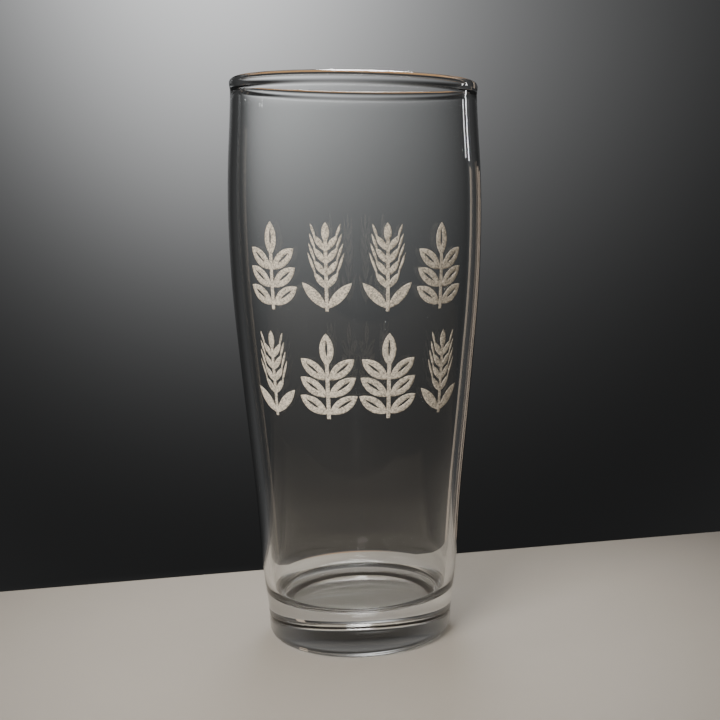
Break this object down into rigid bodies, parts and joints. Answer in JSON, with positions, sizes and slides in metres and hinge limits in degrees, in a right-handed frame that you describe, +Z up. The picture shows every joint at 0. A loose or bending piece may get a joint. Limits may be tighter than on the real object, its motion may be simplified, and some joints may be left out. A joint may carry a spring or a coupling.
{
  "type": "pint glass",
  "caption": "Tall clear pint glass with a heavy base, a swelling taper, a rounded rim and etched sprigs and barley ears round its front.",
  "frame": {"origin": "centre of the foot, on the surface that the glass stands on", "axes": "+Z up the glass's axis from the foot to the rim; the etched front faces -Y; +X to the right as seen from the front"},
  "size_m": [0.0742, 0.0742, 0.166],
  "materials": {
    "clear_glass": "polished clear soda-lime glass with a fire-polished rim",
    "etched_glass": "laser-etched frost, fine and granular, pale grey"
  },
  "bodies": {
    "root": {"glass_vessel": "clear_glass", "etched_upper_row": "etched_glass", "etched_lower_row": "etched_glass"}
  },
  "joints": []
}
